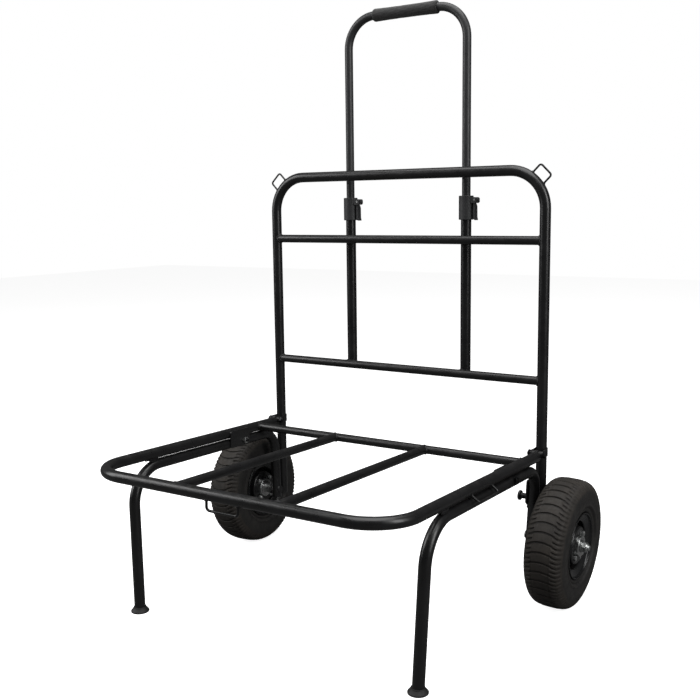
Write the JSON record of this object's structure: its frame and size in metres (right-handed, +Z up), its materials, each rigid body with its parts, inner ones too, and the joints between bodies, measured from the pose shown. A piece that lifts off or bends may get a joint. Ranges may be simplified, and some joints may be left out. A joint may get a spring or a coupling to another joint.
{
  "type": "hotel luggage cart",
  "caption": "Folding luggage cart in black steel tube: open deck on front legs, pneumatic rear wheels, fold-down back frame and telescopic pull handle with foam grip.",
  "frame": {"origin": "centre of the cart's outline on the floor", "axes": "+X along the axles, +Y to the back where the handle is, +Z up"},
  "size_m": [0.8964, 0.7184, 1.2239],
  "materials": {
    "frame_paint": "satin black powder coat",
    "handle_paint": "satin dark grey powder coat",
    "clamp_plastic": "moulded, fine texture",
    "knob_plastic": "moulded",
    "bush_plastic": "moulded",
    "grip_foam": "soft matte foam",
    "foot_rubber": "matte rubber",
    "tyre_rubber": "matte, slightly dusty",
    "rim_paint": "gloss black",
    "zinc_plate": "bright zinc plated",
    "black_oxide": "black plated steel",
    "bearing_steel": "ground",
    "spring_steel": "bright wire"
  },
  "bodies": {
    "chassis": {"axle_nuts": "zinc_plate", "axle_spacers": "zinc_plate", "axle_washers": "zinc_plate", "axles": "zinc_plate", "bracket_bolts": "black_oxide", "bracket_nuts": "zinc_plate", "deck_bars": "frame_paint", "deck_frame": "frame_paint", "deck_loops": "frame_paint", "frame_brackets": "frame_paint", "hinge_lugs": "frame_paint", "left_foot": "foot_rubber", "left_leg_frame": "frame_paint", "lock_plate": "frame_paint", "plunger_housing": "black_oxide", "rail_saddles": "frame_paint", "rear_deck_rail": "frame_paint", "right_foot": "foot_rubber", "right_leg_frame": "frame_paint"},
    "back": {"back_frame": "frame_paint", "upper_crossbar": "frame_paint", "lower_crossbar": "frame_paint", "post_plugs": "bush_plastic", "corner_loops": "frame_paint", "left_sleeve": "frame_paint", "right_sleeve": "frame_paint", "sleeve_spacers": "frame_paint", "left_clamp": "clamp_plastic", "right_clamp": "clamp_plastic", "lever_pins": "zinc_plate", "hinge_straps": "frame_paint", "pivot_bolts": "black_oxide", "pivot_nuts": "black_oxide", "pivot_bushes": "bush_plastic"},
    "handle": {"handle_tube": "handle_paint", "handle_grip": "grip_foam", "handle_bushes": "bush_plastic"},
    "left_lever_body": {"left_lever": "clamp_plastic"},
    "right_lever_body": {"right_lever": "clamp_plastic"},
    "left_wheel": {"left_tyre": "tyre_rubber", "left_outer_rim": "rim_paint", "left_inner_rim": "rim_paint", "left_hub": "zinc_plate", "left_bearings": "bearing_steel", "left_rim_bolts": "zinc_plate", "left_rim_nuts": "zinc_plate"},
    "right_wheel": {"right_tyre": "tyre_rubber", "right_outer_rim": "rim_paint", "right_inner_rim": "rim_paint", "right_hub": "zinc_plate", "right_bearings": "bearing_steel", "right_rim_bolts": "zinc_plate", "right_rim_nuts": "zinc_plate"},
    "plunger": {"plunger_pin": "zinc_plate", "plunger_knob": "knob_plastic", "plunger_spring": "spring_steel"}
  },
  "joints": [
    {"name": "back_fold", "type": "hinge", "parent": "chassis", "child": "back", "pos_m": [0, 0.24121, 0.3018], "axis": [1, 0, 0], "range_deg": [0, 88]},
    {"name": "handle_slide", "type": "slide", "parent": "back", "child": "handle", "axis": [0, 0, 1], "range_m": [-0.3, 0]},
    {"name": "left_lever_swing", "type": "hinge", "parent": "back", "child": "left_lever_body", "pos_m": [-0.1215, 0.29274, 0.8125], "axis": [0, -1, 0], "range_deg": [0, 110]},
    {"name": "left_wheel_turn", "type": "hinge", "parent": "chassis", "child": "left_wheel", "pos_m": [-0.3942, 0.22924, 0.1305], "axis": [0.9991, 0, 0.0419], "continuous": true},
    {"name": "right_lever_swing", "type": "hinge", "parent": "back", "child": "right_lever_body", "pos_m": [0.1665, 0.29274, 0.8125], "axis": [0, -1, 0], "range_deg": [0, 110]},
    {"name": "right_wheel_turn", "type": "hinge", "parent": "chassis", "child": "right_wheel", "pos_m": [0.3942, 0.22924, 0.1305], "axis": [0.9991, 0, -0.0419], "continuous": true},
    {"name": "plunger_pull", "type": "slide", "parent": "chassis", "child": "plunger", "axis": [-0.9991, 0.0013, 0.0419], "range_m": [0, 0.008], "stiffness_N_per_m": 1500, "springref_m": -0.004, "deforming": ["plunger_spring"]}
  ]
}
